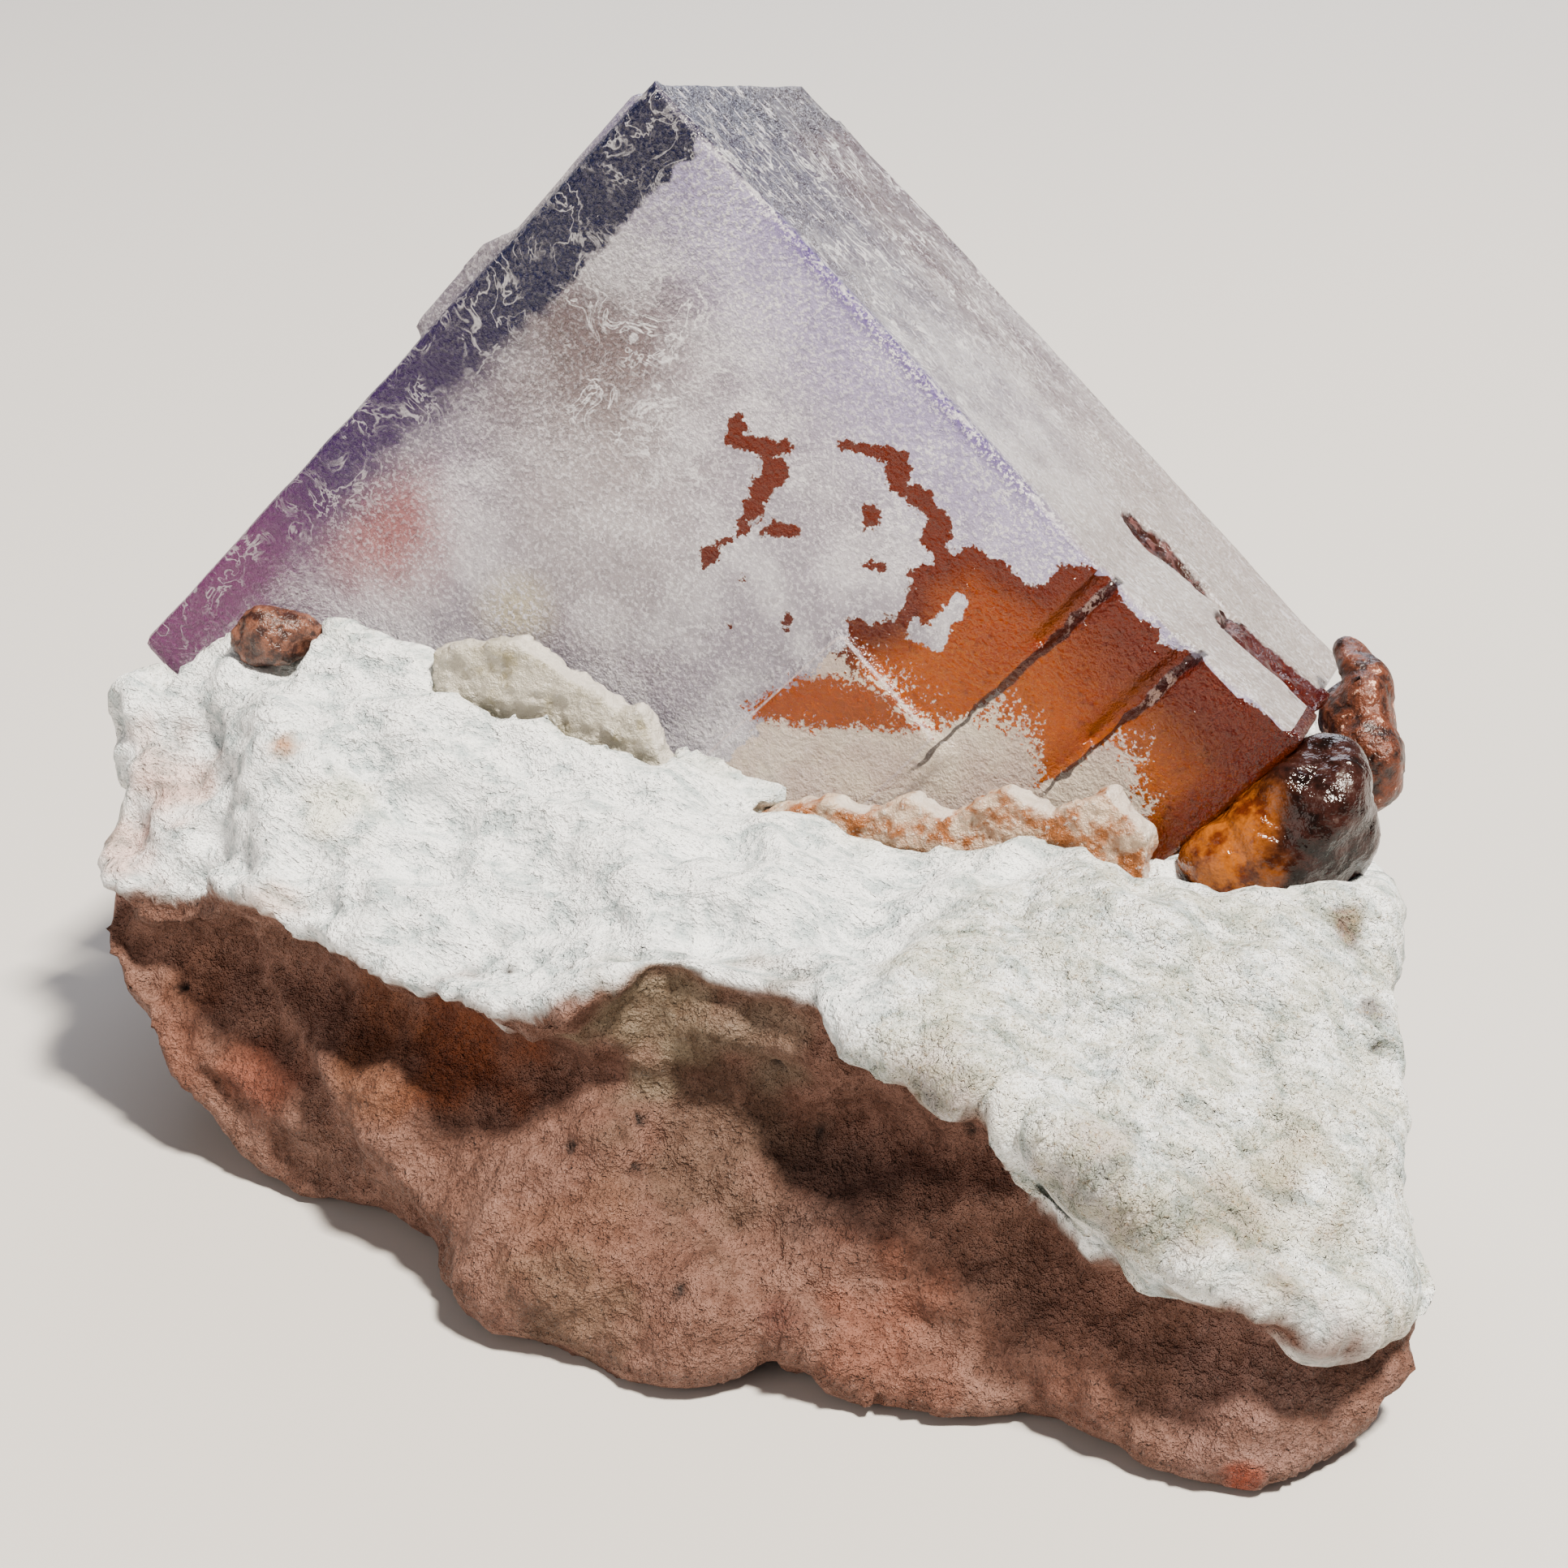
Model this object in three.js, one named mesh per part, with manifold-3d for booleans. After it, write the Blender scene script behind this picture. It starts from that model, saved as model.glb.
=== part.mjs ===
// A fluorite crystal on its matrix: one cube-shaped crystal that stands on a corner, half sunk
// in a lump of pale rock, with small grains grown at its right and left corners.
// Millimetres, +Z up, front toward -Y, origin at the bottom centre of the whole specimen.
import * as THREE from 'three';
import { ImprovedNoise } from 'three/addons/math/ImprovedNoise.js';
import { mergeVertices } from 'three/addons/utils/BufferGeometryUtils.js';
import Module from 'manifold-3d';

const wasm = await Module();
wasm.setup();

// Driving dimensions of the crystal, with its angles in degrees
const TOP_CORNER = new THREE.Vector3(-3.3, 8.3, 27);
const RIGHT_EDGE = 23.1;
const LEFT_EDGE = 21.4;
const DEPTH = 13.4;
const FACE_TURN = -17.4;
const FACE_LEAN = 11.1;
const FACE_ROLL = -41.7;
const ROOT_HEIGHT = 6.5;
const CORNER_CHIP = 3;
const CORNER_CHIP_INSET = 1.3;

// Growth steps and cracks, measured along the right edge from the top corner
const FLARE_START = 16.9;
const FLARE = 0.8;
const STEP_START = 13.2;
const STEP_DROP = 6.2;
const STEP_RISE = 0.2;
const CRACK_STARTS = [16.9, 19.6];
const CRACK_LENGTH = 7.6;
const CRACK_WIDTH = 0.8;
const CRACK_END_WIDTH = 0.1;
const CRACK_DEPTH = 0.35;
const GROOVE_START = 15.8;
const GROOVE_FROM_FRONT = 5.9;
const GROOVE_WIDTH = 1.2;
const GROOVE_SHALLOW_END = 0.05;

// The thin growth layer on the upper left face, as an outline that starts inside the crystal
const GROWTH_LAYER = [
  [0.5, -0.5], [-0.35, -0.7], [-0.3, -3.5], [-0.2, -5.4], [-0.6, -6.4], [-0.5, -9.3], [0.5, -9.8],
];
const GROWTH_LAYER_BACK = -6.5;
const GROWTH_LAYER_FRONT = -0.7;

// Space left between neighbouring pieces, how far joined shapes reach into each other, and a
// size larger than the whole specimen
const GAP = 0.3;
const OVERLAP = 1;
const BIG = 60;

// Roughness of broken rock and of the small grains: height of the bumps, and their spacing
const ROCK_ROUGHNESS = 0.35;
const ROCK_GRAIN = 2.3;
const ROCK_NOISE_OFFSETS = [11, 23, 37];
const LUMP_ROUGHNESS = 0.35;
const LUMP_GRAIN = 1.3;
const LUMP_DETAIL = 3;
const STATIONS = 46;

// Ridge lines of the matrix, each from its left end to its right end
const RIDGES = {
  rim: [[-17.9, 6.5, 8.9], [-15.8, 8.1, 11.8], [-11.2, 7.1, 12.6], [-5.6, 4.4, 11.5], [-2, 2.9, 10.2],
    [1.7, 1.5, 9.6], [5.8, 0.5, 9.8], [10.1, -1.1, 9.2], [13.4, -1.7, 9.3], [14.5, -1.7, 8.7]],
  shelf: [[-18.1, 5.5, 8.1], [-16.2, 5.1, 9.3], [-14.2, 4.5, 10.3], [-11.4, 3, 10.3], [-5.4, -0.2, 9.6],
    [0.7, -2.5, 9.4], [3, -3.5, 9.2], [5.6, -2.6, 9.6], [10.9, -5.2, 8.4], [13.9, -6.3, 6.6]],
  brow: [[-18.3, 4.8, 7.5], [-17.2, 3, 6.2], [-15.4, 2, 6.3], [-14.2, 1.5, 7.6], [-9.3, -2.6, 7.2],
    [-6.8, -4.3, 7.1], [-5.1, -5.1, 7.7], [-3.4, -4.1, 8.6], [1.1, -5.8, 8.6], [4.7, -8.9, 7.4],
    [7.7, -11.3, 6.3], [9.4, -12.4, 5.1], [11.6, -12.6, 4], [13.2, -10.7, 4]],
  throat: [[-18.3, 4.7, 6.1], [-16.4, 2.8, 5.2], [-14.1, 2.1, 5.5], [-8.2, -1.7, 5.5], [-5.3, -3.2, 5.6],
    [-2.3, -4.3, 4.7], [0.7, -5.2, 4.6], [5.5, -7.8, 5.2], [9, -10.6, 3.9], [11.5, -11.5, 2.9],
    [13.6, -10.2, 3.3]],
  fold: [[-18.1, 4.1, 5.4], [-15.7, 2.3, 4.7], [-12.9, 0.7, 4.6], [-10.8, -1.5, 3.5], [-4.8, -5.2, 3.8],
    [-3.4, -6.6, 3.1], [-0.3, -7.5, 2.4], [2.2, -7.4, 3.8], [5.5, -8.8, 4.9], [6.9, -9.9, 4.4],
    [11.4, -11.9, 3], [13.8, -10.3, 2.7]],
  belly: [[-17.8, 3.7, 4.7], [-16.1, 1.9, 3.2], [-11, -2.2, 2], [-5.1, -7.4, 1.9], [-2.2, -8.8, 1.7],
    [-0.5, -8.5, 1.5], [4.4, -9, 1.7], [8.5, -11.6, 1.3], [12.4, -11.9, 1.5], [14.3, -10.3, 1.7]],
  toe: [[-17.5, 2.7, 4.2], [-15.5, 1.1, 2], [-12.5, -1.3, 0.4], [-9.1, -3.3, 0.8], [-6.8, -6.4, 0.2],
    [-3.9, -8.6, 0.2], [-1.8, -9.1, 0.3], [-0.3, -9.1, 1.4], [1.8, -10.1, 0.5], [7.6, -10.8, 0.1],
    [8.8, -12.5, 0.1], [10.9, -12.7, 0], [14.2, -10.4, 1.2]],
  frontSole: [[-16, 5, 2.5], [-11, 1.5, -0.8], [-4, -5.5, -0.8], [3, -7, -0.8], [9, -9.8, -0.8],
    [13.5, -8, 0.6]],
  backSole: [[-15.5, 9, 2.2], [-10, 12, -0.8], [0, 13, -0.8], [8, 11, -0.8], [13.5, 2, 0.4]],
  backToe: [[-16, 11, 3.2], [-12, 17, 1.8], [-4, 19, 1], [5, 17, 1.2], [11, 13, 1.8], [14.8, 4, 2]],
  backBelly: [[-17, 12, 5.5], [-14, 20, 4.6], [-6, 21.8, 4.4], [3, 19.6, 4.2], [11, 16, 4.2], [15.6, 6, 4.6]],
  backRim: [[-17.3, 11.5, 8.4], [-14.8, 20, 9.4], [-8, 22, 9.8], [0, 20, 9.8], [7, 17.5, 9], [13, 14.8, 8.4],
    [16, 8, 8]],
  bed: [[-17, 9, 9.2], [-12, 12, 8.6], [-3, 11, 8.4], [6, 8, 8], [13, 5, 8], [15.4, 3, 8]],
};
const ROWS_BETWEEN = [3, 5, 2, 2, 2, 2, 1, 2, 1, 3, 3, 3, 3];

// Crust at the foot of the crystal: its upper edge, in the crystal's own axes
const LEFT_RIND = [
  [6.2, -14.3], [6.9, -13.4], [7.6, -12.5], [8.8, -12.1], [10.8, -11.6], [11.1, -11.1], [12.9, -11.8],
];
const RIGHT_RIND = [
  [15.2, -10.9], [16.3, -8.9], [17.1, -8.5], [17.6, -7.3], [18.6, -7], [19, -5.3], [20.3, -4.9],
  [20.7, -3.4], [22.3, -3.4], [22.7, -4],
];
const RIND_THICKNESS = 0.9;
const RIND_ROOT = 1.3;
const RIND_BACK = -0.5;

// Small grains beside the crystal, and the rock's knob at the left: centre and three radii of
// each lump
const DARK_GRAIN = [
  [[13, 0.7, 10.2], [1.7, 1.6, 1.9]],
  [[12.2, 0.2, 9.7], [1.3, 1.3, 1.4]],
  [[11.4, 0, 9.4], [1.3, 1, 0.9]],
];
const RUSTY_GRAIN = [
  [[15.3, 8.8, 10.5], [0.7, 1.3, 1.1]],
  [[15.6, 7.6, 10], [0.8, 1.3, 1.4]],
  [[15.7, 6.3, 9.3], [0.8, 1.2, 1.2]],
];
const BROWN_GRAIN = [[[-13.7, 7.5, 12.4], [1.1, 0.7, 0.7]]];
const WHITE_KNOB = [[[-17.6, 8, 9.4], [0.9, 1.2, 1.7]]];

const CRYSTAL_AXES = crystalAxes();

// A closed three.js shape as a solid that can be cut and joined
function solid(geometry) {
  const bare = geometry.clone();
  bare.deleteAttribute('normal');
  bare.deleteAttribute('uv');
  const merged = mergeVertices(bare, 1e-4);
  return new wasm.Manifold(new wasm.Mesh({
    numProp: 3,
    vertProperties: new Float32Array(merged.attributes.position.array),
    triVerts: new Uint32Array(merged.index.array),
  }));
}

function namedMesh(name, body, look) {
  const { vertProperties, triVerts } = body.getMesh();
  const geometry = new THREE.BufferGeometry();
  geometry.setAttribute('position', new THREE.BufferAttribute(vertProperties, 3));
  geometry.setIndex(new THREE.BufferAttribute(triVerts, 1));
  geometry.computeVertexNormals();
  const part = new THREE.Mesh(geometry, new THREE.MeshStandardMaterial(look));
  part.name = name;
  return part;
}

// The crystal's own axes start at its top corner: x down its right edge, y up away from its
// left edge, z out of its front face
function crystalAxes() {
  const radians = THREE.MathUtils.degToRad;
  const axes = new THREE.Matrix4().makeTranslation(TOP_CORNER.x, TOP_CORNER.y, TOP_CORNER.z);
  axes.multiply(new THREE.Matrix4().makeRotationZ(radians(FACE_TURN)));
  axes.multiply(new THREE.Matrix4().makeRotationX(radians(90 - FACE_LEAN)));
  axes.multiply(new THREE.Matrix4().makeRotationZ(radians(FACE_ROLL)));
  return axes;
}

function inCrystalAxes(geometry) {
  return solid(geometry.applyMatrix4(CRYSTAL_AXES));
}

// A flat outline in the crystal's front plane, thickened from one depth to another
function slab(points, back, front) {
  const outline = new THREE.Shape(points.map(([x, y]) => new THREE.Vector2(x, y)));
  const geometry = new THREE.ExtrudeGeometry(outline, { depth: front - back, bevelEnabled: false });
  return inCrystalAxes(geometry.translate(0, 0, back));
}

function boxBetween(low, high) {
  const size = high.map((value, axis) => value - low[axis]);
  const middle = high.map((value, axis) => (value + low[axis]) / 2);
  return new THREE.BoxGeometry(...size).translate(...middle);
}

function aboveLevel(height) {
  return solid(boxBetween([-BIG, -BIG, height], [BIG, BIG, height + BIG]));
}

// A wedge-shaped crack, widest where it opens on the right face
function crack(start) {
  const opening = FLARE + OVERLAP;
  return slab([
    [start - CRACK_WIDTH / 2, opening],
    [start - CRACK_END_WIDTH, -CRACK_LENGTH],
    [start + CRACK_WIDTH / 2, opening],
  ], -CRACK_DEPTH, OVERLAP);
}

// The crystal: a cube-shaped block with a flared lower right corner, a raised corner step on its
// front face, two cracks, a groove along its right face and a thin growth layer on its upper
// left face
function crystal() {
  const block = slab([[0, 0], [0, -LEFT_EDGE], [RIGHT_EDGE, -LEFT_EDGE], [RIGHT_EDGE, 0]], -DEPTH, 0);
  const flare = slab([
    [FLARE_START, 0], [FLARE_START, -OVERLAP], [RIGHT_EDGE, -OVERLAP], [RIGHT_EDGE, FLARE],
  ], -GROOVE_FROM_FRONT, 0);
  const layer = slab(GROWTH_LAYER, GROWTH_LAYER_BACK, GROWTH_LAYER_FRONT);
  const cornerStep = inCrystalAxes(boxBetween(
    [STEP_START, -LEFT_EDGE, -OVERLAP],
    [CRACK_STARTS[0] + CRACK_WIDTH / 2, -STEP_DROP, STEP_RISE],
  ));
  const grooveEnd = RIGHT_EDGE + OVERLAP;
  const groove = slab([
    [GROOVE_START, -GROOVE_SHALLOW_END],
    [grooveEnd, -CRACK_DEPTH],
    [grooveEnd, OVERLAP],
    [GROOVE_START, OVERLAP],
  ], -GROOVE_FROM_FRONT - GROOVE_WIDTH, -GROOVE_FROM_FRONT);
  const chip = new THREE.BoxGeometry(CORNER_CHIP, CORNER_CHIP, CORNER_CHIP);
  chip.rotateX(Math.PI / 4).translate(0, 0, -DEPTH - CORNER_CHIP_INSET);
  const grown = block.add(flare).add(layer).add(cornerStep);
  return [groove, ...CRACK_STARTS.map(crack), inCrystalAxes(chip)]
    .reduce((body, cut) => body.subtract(cut), grown)
    .intersect(aboveLevel(ROOT_HEIGHT));
}

// The room that the crystal takes in its neighbours, with the gap all round
function crystalRoom() {
  const room = inCrystalAxes(boxBetween(
    [-OVERLAP, -LEFT_EDGE - GAP, -DEPTH - GAP],
    [RIGHT_EDGE + GAP, FLARE + GAP, STEP_RISE + GAP],
  ));
  return room.intersect(aboveLevel(ROOT_HEIGHT - GAP));
}

// A rough lump about a centre, flattened by its three radii
function lump(centre, radii, growth) {
  const noise = new ImprovedNoise();
  const ball = new THREE.IcosahedronGeometry(1, LUMP_DETAIL);
  const geometry = mergeVertices(ball.deleteAttribute('normal').deleteAttribute('uv'));
  const at = geometry.attributes.position;
  const point = new THREE.Vector3();
  for (let i = 0; i < at.count; i += 1) {
    point.fromBufferAttribute(at, i);
    const spot = point.clone().multiplyScalar(LUMP_GRAIN);
    const bulge = 1 + LUMP_ROUGHNESS * noise.noise(spot.x + centre[0], spot.y, spot.z + centre[2]);
    const [x, y, z] = radii.map((radius, axis) => point.getComponent(axis) * (radius * bulge + growth));
    at.setXYZ(i, x + centre[0], y + centre[1], z + centre[2]);
  }
  return solid(geometry);
}

function lumps(list, growth = 0) {
  return list.map(([centre, radii]) => lump(centre, radii, growth)).reduce((all, one) => all.add(one));
}

// A strip of crust: its upper edge follows the outline, its root runs down beside the crystal
function rind(upperEdge, growth = 0) {
  const aside = growth * Math.SQRT1_2;
  const edge = upperEdge.map(([x, y]) => [x - aside, y + aside]);
  const root = [upperEdge.at(-1), upperEdge[0]].map(([x, y]) => [x + RIND_ROOT, y - RIND_ROOT]);
  const front = STEP_RISE + GAP + RIND_THICKNESS + growth;
  return slab([...edge, ...root], RIND_BACK, front);
}

// The ridge lines, sampled at equal steps and joined row by row, make the rock's closed skin
function matrixSkin() {
  const lines = Object.values(RIDGES).map((points) => (
    new THREE.CatmullRomCurve3(points.map((p) => new THREE.Vector3(...p)), false, 'centripetal')
  ));
  const rings = [];
  for (let i = 0; i <= STATIONS; i += 1) {
    const corners = lines.map((line) => line.getPointAt(i / STATIONS));
    const ring = [];
    corners.forEach((corner, k) => {
      const next = corners[(k + 1) % corners.length];
      for (let row = 0; row < ROWS_BETWEEN[k]; row += 1) {
        ring.push(corner.clone().lerp(next, row / ROWS_BETWEEN[k]));
      }
    });
    rings.push(ring);
  }
  return rings;
}

function roughened(point) {
  const noise = new ImprovedNoise();
  const at = point.clone().divideScalar(ROCK_GRAIN);
  const [aside, inward, upward] = ROCK_NOISE_OFFSETS;
  const shift = new THREE.Vector3(
    noise.noise(at.x + aside, at.y, at.z),
    noise.noise(at.x, at.y + inward, at.z),
    noise.noise(at.x, at.y, at.z + upward),
  );
  return point.clone().addScaledVector(shift, 2 * ROCK_ROUGHNESS);
}

function matrixBlank() {
  const rings = matrixSkin();
  const around = rings[0].length;
  const points = rings.flat().map(roughened);
  const faces = [];
  for (let i = 0; i < rings.length - 1; i += 1) {
    for (let k = 0; k < around; k += 1) {
      const a = i * around + k;
      const b = i * around + (k + 1) % around;
      faces.push(a, b, a + around, b, b + around, a + around);
    }
  }
  for (const end of [0, rings.length - 1]) {
    const centre = rings[end].reduce((sum, p) => sum.add(p), new THREE.Vector3()).divideScalar(around);
    points.push(centre);
    for (let k = 0; k < around; k += 1) {
      const a = end * around + k;
      const b = end * around + (k + 1) % around;
      faces.push(...(end === 0 ? [b, a, points.length - 1] : [a, b, points.length - 1]));
    }
  }
  const geometry = new THREE.BufferGeometry();
  const places = points.flatMap((p) => p.toArray());
  geometry.setAttribute('position', new THREE.Float32BufferAttribute(places, 3));
  geometry.setIndex(faces);
  return solid(geometry);
}

// The rock, with room cut for the crystal, the grains and the crust
function matrix(room) {
  const rock = matrixBlank().add(lumps(WHITE_KNOB)).intersect(aboveLevel(0));
  const rooms = [
    room,
    lumps(DARK_GRAIN, GAP),
    lumps(RUSTY_GRAIN, GAP),
    lumps(BROWN_GRAIN, GAP),
    rind(LEFT_RIND, GAP),
    rind(RIGHT_RIND, GAP),
  ];
  return rooms.reduce((left, cut) => left.subtract(cut), rock);
}

function specimen() {
  const room = crystalRoom();
  const leftRind = rind(LEFT_RIND).subtract(room).subtract(lumps(BROWN_GRAIN, GAP));
  const rightRind = rind(RIGHT_RIND).subtract(room).subtract(lumps(DARK_GRAIN, GAP));
  const darkGrain = lumps(DARK_GRAIN).subtract(room);
  const rustyGrain = lumps(RUSTY_GRAIN).subtract(room);
  const brownGrain = lumps(BROWN_GRAIN).subtract(room);
  const pieces = new THREE.Group();
  pieces.add(
    namedMesh('fluorite_crystal', crystal(), { color: 0xc9c0d2, roughness: 0.35, metalness: 0 }),
    namedMesh('matrix', matrix(room), { color: 0xd8d2c8, roughness: 0.9, metalness: 0 }),
    namedMesh('left_rind', leftRind, { color: 0xd9d0b8, roughness: 0.4, metalness: 0 }),
    namedMesh('right_rind', rightRind, { color: 0xdcb88e, roughness: 0.4, metalness: 0 }),
    namedMesh('dark_grain', darkGrain, { color: 0x2a1c16, roughness: 0.2, metalness: 0 }),
    namedMesh('rusty_grain', rustyGrain, { color: 0x9a5238, roughness: 0.4, metalness: 0.3 }),
    namedMesh('brown_grain', brownGrain, { color: 0x6b4230, roughness: 0.4, metalness: 0 }),
  );
  return pieces;
}

// The origin is moved to the bottom centre of the whole
const placed = specimen();
const extent = new THREE.Box3().setFromObject(placed);
const middle = extent.getCenter(new THREE.Vector3());
placed.position.set(-middle.x, -middle.y, -extent.min.z);

const group = new THREE.Group();
group.add(placed);

export default group;
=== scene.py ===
"""A fluorite crystal on its matrix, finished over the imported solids: a clear to frosted cube on a
corner, purple along one side and iron-stained at its lower right, in a lump of chalky rock."""
import math

import bmesh
import bpy
import numpy as np
from mathutils import Matrix, Vector, noise
from mathutils.bvhtree import BVHTree


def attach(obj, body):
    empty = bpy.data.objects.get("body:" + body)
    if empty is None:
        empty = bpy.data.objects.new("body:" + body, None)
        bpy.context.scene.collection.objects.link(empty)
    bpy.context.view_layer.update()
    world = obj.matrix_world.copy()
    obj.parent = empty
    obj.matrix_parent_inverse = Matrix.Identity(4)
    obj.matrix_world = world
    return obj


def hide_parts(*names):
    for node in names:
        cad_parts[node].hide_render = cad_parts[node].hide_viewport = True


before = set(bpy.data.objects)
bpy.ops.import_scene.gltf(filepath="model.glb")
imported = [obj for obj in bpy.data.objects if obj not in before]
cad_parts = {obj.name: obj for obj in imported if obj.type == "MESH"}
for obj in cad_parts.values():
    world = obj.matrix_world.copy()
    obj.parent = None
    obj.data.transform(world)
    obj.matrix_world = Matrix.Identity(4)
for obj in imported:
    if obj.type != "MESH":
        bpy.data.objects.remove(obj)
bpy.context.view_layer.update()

# The matrix
# A loose lump of pale rock: a chalky white, fibrous ledge on top, and a dull pink-beige broken
# underside with orange and grey patches and small black pinholes. The pink-beige is partly the
# rock's own colour and partly painted shade. Painted shade also darkens the whole underside, the
# fibres' folds on top and the pinholes. The crystal is grown into it.
MM = 0.001
# The specimen's own axes are in millimetres, with the floor point under the picture's middle as
# their origin. The crystal's top corner ties them to the frame.
TOP_CORNER = Vector((-3.3, 8.3, 27.0))
FACE_TURN = -17.4
FACE_LEAN = 11.1
FACE_ROLL = -41.7
crystal_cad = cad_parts["fluorite_crystal"]
highest = max((v.co for v in crystal_cad.data.vertices), key=lambda co: co.z)
ORIGIN = highest / MM - TOP_CORNER
CRYSTAL_AXES = (
    Matrix.Translation(TOP_CORNER)
    @ Matrix.Rotation(math.radians(FACE_TURN), 4, "Z")
    @ Matrix.Rotation(math.radians(90 - FACE_LEAN), 4, "X")
    @ Matrix.Rotation(math.radians(FACE_ROLL), 4, "Z")
)
TO_CRYSTAL = CRYSTAL_AXES.inverted()
# The picture's camera, for patches whose place is given by a pixel
PICTURE_PIXELS = 1932
FOCAL_PIXELS = 3600
VIEW_HEIGHT = 11.5
VIEW_DISTANCE = 72.0
VIEW_ELEVATION = math.radians(25.0)
VIEW_TARGET = Vector((0, 0, VIEW_HEIGHT))
VIEW_BACK = Vector((0, -math.cos(VIEW_ELEVATION), math.sin(VIEW_ELEVATION)))
VIEW_UP = Vector((0, math.sin(VIEW_ELEVATION), math.cos(VIEW_ELEVATION)))
EYE = VIEW_TARGET + VIEW_BACK * VIEW_DISTANCE

ROCK_VOXEL = 0.22
# The solids keep a gap round the crystal, and the rock's skin closes it: fully up to the first
# distance from the crystal's box and not at all past the second
SOCKET_GAP = 0.38
TOUCH_NEAR = 0.45
TOUCH_FAR = 0.9
# The crystal's box in its own axes, with margins for its growth layer and its front
CRYSTAL_RIGHT = 23.1
CRYSTAL_LEFT = 21.4
CRYSTAL_DEPTH = 13.4
LAYER_MARGIN = 0.4
FRONT_MARGIN = 0.1
PIXELS_PER_MM = 50
# The white ledge's lower edge, in pixels of the picture, and round the back in millimetres
LEDGE_EDGE = [(100, 1080), (200, 1100), (278, 1105), (375, 1153), (502, 1217), (617, 1263),
              (690, 1262), (740, 1215), (800, 1195), (898, 1211), (1022, 1236), (1051, 1274),
              (1148, 1337), (1223, 1377), (1262, 1412), (1275, 1486), (1344, 1541), (1458, 1578),
              (1620, 1650), (1750, 1600)]
BACK_EDGE = [(-18.3, 6.9), (-5.1, 7.2), (1.1, 8.3), (7.7, 5.6), (13.6, 3.4)]
# The lumpy right part of the ledge, and how soft and ragged its edge is, in pixels
LUMP_EDGE = 40
RIGHT_LUMP = [(1040, 1280), (1100, 1190), (1180, 1130), (1324, 1053), (1460, 1103), (1750, 1090),
              (1800, 1640), (1620, 1650), (1458, 1578), (1344, 1541), (1263, 1486), (1262, 1412),
              (1148, 1337)]
# Raised and sunk forms of the front: outline in pixels, height in millimetres, width of its edge
ROCK_FORMS = [
    ([(130, 1150), (290, 1150), (345, 1240), (400, 1330), (440, 1400), (480, 1450), (560, 1540),
      (400, 1560), (150, 1400)], -0.75, 12),
    (RIGHT_LUMP, 0.6, 22),
    ([(1040, 1500), (1200, 1478), (1263, 1486), (1344, 1541), (1500, 1600), (1640, 1660),
      (1400, 1760), (1380, 1640), (1220, 1560)], -0.35, 60),
    ([(760, 1330), (900, 1300), (1080, 1350), (1180, 1440), (1040, 1480), (960, 1560), (850, 1520),
      (770, 1450)], -0.6, 40),
    ([(290, 1110), (420, 1180), (620, 1265), (600, 1330), (440, 1300), (340, 1200)], -0.45, 30),
    ([(150, 900), (270, 900), (290, 1000), (250, 1090), (130, 1080)], -0.4, 50),
    ([(420, 930), (560, 960), (780, 1080), (960, 1150), (1020, 1220), (840, 1190), (640, 1140),
      (460, 1060)], -0.7, 45),
    ([(330, 860), (430, 900), (400, 1010), (340, 1080), (290, 1020)], 0.5, 30),
]
# Patches of colour: pixel, radius in millimetres, colour, strength. A few are painted shade, as
# noted below
ROCK_PATCHES = [
    ((590, 1285), 2.4, "#84421a", 0.9), ((480, 1245), 1.6, "#88502f", 0.75),
    ((310, 1335), 1.3, "#8f4a32", 0.7), ((450, 1330), 1.5, "#94603f", 0.6),
    ((880, 1400), 3.4, "#6f5646", 0.85), ((1050, 1470), 2.0, "#66493f", 0.8),
    ((1150, 1360), 1.6, "#85604c", 0.6), ((800, 1255), 2.0, "#988a72", 0.8),
    ((950, 1280), 1.8, "#917f6c", 0.7), ((700, 1540), 2.4, "#8a604c", 0.7),
    ((700, 1620), 1.8, "#7a6450", 0.6), ((230, 1290), 1.8, "#96604b", 0.7),
    ((400, 1420), 1.5, "#977263", 0.7), ((240, 1210), 1.0, "#a0705a", 0.7),
    ((1100, 1640), 2.2, "#945f4b", 0.8), ((1330, 1690), 1.6, "#7c4c3a", 0.7),
    ((1350, 1640), 1.8, "#9d7262", 0.8), ((960, 1630), 0.8, "#5e3024", 0.7),
    ((1560, 1740), 3.2, "#946f64", 0.9), ((1700, 1660), 1.2, "#d8cec2", 0.9),
    ((1340, 1470), 1.7, "#bdb5ad", 0.9), ((1655, 1140), 0.7, "#6d4626", 0.9),
    ((1690, 1240), 0.5, "#4a382c", 0.8), ((1530, 1820), 0.5, "#a4441f", 0.8),
    # The pink patches at (215, 960) and (165, 1040) are partly the left end's own colour and partly
    # painted shade where it faces away from the light
    ((420, 1000), 1.2, "#dcd8b8", 0.5), ((215, 960), 1.9, "#d8b3a6", 0.7),
    ((165, 1040), 1.9, "#d3ab9f", 0.75), ((232, 815), 0.4, "#cf9060", 0.7),
    ((260, 790), 0.5, "#c98a5a", 0.7), ((330, 1110), 1.0, "#d9bfb0", 0.7),
    # The next two patches are painted shade on the lower part of the right lump
    ((1520, 1490), 2.2, "#94856c", 0.75), ((1400, 1500), 1.5, "#a39a8a", 0.6),
    ((1180, 1220), 1.2, "#c4c0a0", 0.5), ((1600, 1400), 1.4, "#b9ab90", 0.5),
]
# How far a patch's colour is full and where it ends, in radii, and how ragged its edge is
PATCH_FULL = 0.3
PATCH_END = 1.1
PATCH_RAGGED = 0.7
PINHOLES = [(790, 1380), (785, 1440), (1195, 1393), (1130, 1352), (700, 1412), (1005, 1395),
            (960, 1313), (838, 1588), (228, 1216), (630, 1190), (700, 1190), (1700, 1290)]
PINHOLE_DEPTH = 0.2
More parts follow.
